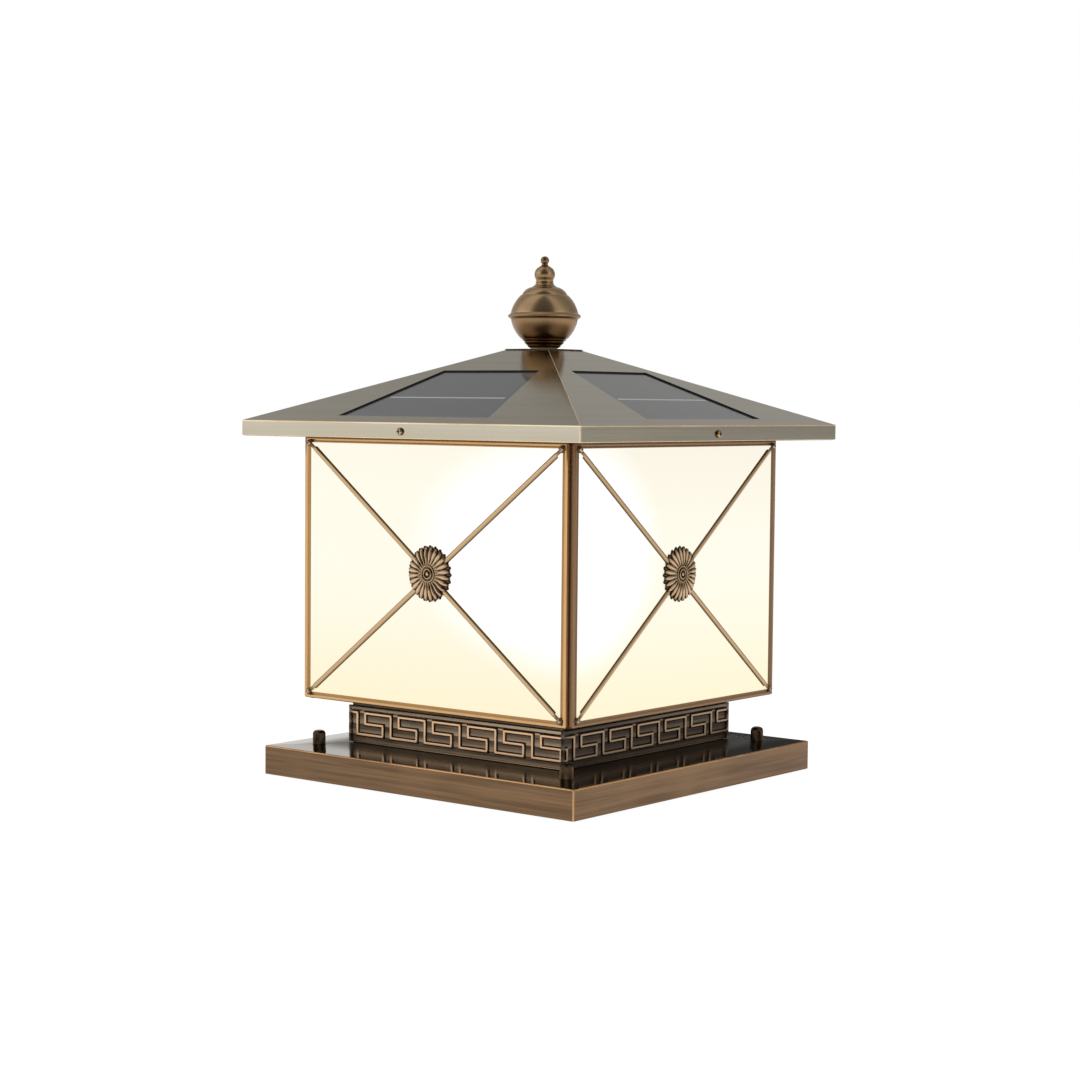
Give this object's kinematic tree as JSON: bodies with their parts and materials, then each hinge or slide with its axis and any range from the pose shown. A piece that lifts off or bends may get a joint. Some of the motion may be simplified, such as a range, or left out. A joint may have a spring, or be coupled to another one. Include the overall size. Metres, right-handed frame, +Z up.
{
  "type": "solar pillar light",
  "caption": "Square lantern for a gate pillar: plinth with a key-pattern band, opal panes behind crossed bars with rosettes, and a lift-off hipped roof with solar panels and a ball finial.",
  "frame": {"origin": "centre of the base's underside, on the top of the pillar", "axes": "+Z up; -Y the front face; the light is alike on all four sides"},
  "size_m": [0.4052, 0.4052, 0.4888],
  "materials": {
    "bronze_sheet": "brushed antique bronze plating",
    "roof_bronze": "satin brushed antique bronze plating, polished edges",
    "dark_bronze": "dark oxidised bronze",
    "cast_bronze": "antique bronze, dark in the recesses",
    "zinc_steel": "zinc plated",
    "opal_glass": "opal white, lit from inside",
    "opal_bulb": "opal diffuser, lit",
    "solar_laminate": "dark cells under clear glass",
    "black_rubber": "matte foam gasket",
    "black_plastic": "fine grained",
    "battery_wrap": "shrink wrap",
    "circuit_board": "solder mask",
    "red_plastic": "glossy",
    "white_porcelain": "glazed",
    "nickel_cap": "nickel plated",
    "lead_insulation": "smooth insulation"
  },
  "bodies": {
    "lantern": {"base_plate": "bronze_sheet", "mounting_bracket": "zinc_steel", "pedestal_shell": "dark_bronze", "key_band_front": "cast_bronze", "key_band_right": "cast_bronze", "key_band_back": "cast_bronze", "key_band_left": "cast_bronze", "floor_plate": "bronze_sheet", "corner_posts": "dark_bronze", "box_screws": "zinc_steel", "panel_frame_front": "bronze_sheet", "panel_frame_right": "bronze_sheet", "panel_frame_back": "bronze_sheet", "panel_frame_left": "bronze_sheet", "glass_pane_front": "opal_glass", "glass_pane_right": "opal_glass", "glass_pane_back": "opal_glass", "glass_pane_left": "opal_glass", "glass_clips": "zinc_steel", "cross_bars_front": "bronze_sheet", "cross_bars_right": "bronze_sheet", "cross_bars_back": "bronze_sheet", "cross_bars_left": "bronze_sheet", "bar_screws": "zinc_steel", "rosette_front": "cast_bronze", "rosette_right": "cast_bronze", "rosette_back": "cast_bronze", "rosette_left": "cast_bronze", "ceiling_plate": "bronze_sheet"},
    "roof": {"roof_shell": "roof_bronze", "solar_panel_front": "solar_laminate", "solar_panel_right": "solar_laminate", "solar_panel_back": "solar_laminate", "solar_panel_left": "solar_laminate", "panel_seals": "black_rubber", "panel_clips": "zinc_steel", "fascia_nuts": "zinc_steel", "inner_bracket": "zinc_steel", "battery_box": "black_plastic", "battery_cells": "battery_wrap", "controller_board": "circuit_board", "switch_housing": "black_plastic", "lamp_tube": "zinc_steel", "lamp_holder": "white_porcelain", "leads": "lead_insulation"},
    "finial": {"finial_bowl": "cast_bronze", "finial_dome": "cast_bronze", "finial_knob": "cast_bronze", "finial_rod": "zinc_steel"},
    "bulb": {"bulb_cap": "nickel_cap", "bulb_globe": "opal_bulb"},
    "rocker": {"switch_rocker": "red_plastic"},
    "fascia_screw_front": {"fascia_screw_front": "cast_bronze"},
    "fascia_screw_right": {"fascia_screw_right": "cast_bronze"},
    "fascia_screw_back": {"fascia_screw_back": "cast_bronze"},
    "fascia_screw_left": {"fascia_screw_left": "cast_bronze"},
    "cap_nut_front_left": {"cap_nut_front_left": "dark_bronze"},
    "cap_nut_front_right": {"cap_nut_front_right": "dark_bronze"},
    "cap_nut_back_right": {"cap_nut_back_right": "dark_bronze"},
    "cap_nut_back_left": {"cap_nut_back_left": "dark_bronze"}
  },
  "joints": [
    {"name": "roof_lift", "type": "slide", "parent": "lantern", "child": "roof", "axis": [0, 0, 1], "range_m": [0, 0.18]},
    {"name": "finial_turn", "type": "hinge", "parent": "roof", "child": "finial", "pos_m": [0, 0, 0.4005], "axis": [0, 0, 1], "continuous": true},
    {"name": "bulb_turn", "type": "hinge", "parent": "roof", "child": "bulb", "pos_m": [0, 0, 0.2514], "axis": [0, 0, 1], "continuous": true},
    {"name": "switch_rock", "type": "hinge", "parent": "roof", "child": "rocker", "pos_m": [0, 0.0575, 0.3657], "axis": [1, 0, 0], "range_deg": [-10, 10]},
    {"name": "fascia_screw_front_out", "type": "slide", "parent": "roof", "child": "fascia_screw_front", "axis": [0, -1, 0], "range_m": [0, 0.014]},
    {"name": "fascia_screw_right_out", "type": "slide", "parent": "roof", "child": "fascia_screw_right", "axis": [1, 0, 0], "range_m": [0, 0.014]},
    {"name": "fascia_screw_back_out", "type": "slide", "parent": "roof", "child": "fascia_screw_back", "axis": [0, 1, 0], "range_m": [0, 0.014]},
    {"name": "fascia_screw_left_out", "type": "slide", "parent": "roof", "child": "fascia_screw_left", "axis": [-1, 0, 0], "range_m": [0, 0.014]},
    {"name": "cap_nut_front_left_off", "type": "slide", "parent": "lantern", "child": "cap_nut_front_left", "axis": [0, 0, 1], "range_m": [0, 0.014]},
    {"name": "cap_nut_front_right_off", "type": "slide", "parent": "lantern", "child": "cap_nut_front_right", "axis": [0, 0, 1], "range_m": [0, 0.014]},
    {"name": "cap_nut_back_right_off", "type": "slide", "parent": "lantern", "child": "cap_nut_back_right", "axis": [0, 0, 1], "range_m": [0, 0.014]},
    {"name": "cap_nut_back_left_off", "type": "slide", "parent": "lantern", "child": "cap_nut_back_left", "axis": [0, 0, 1], "range_m": [0, 0.014]}
  ]
}
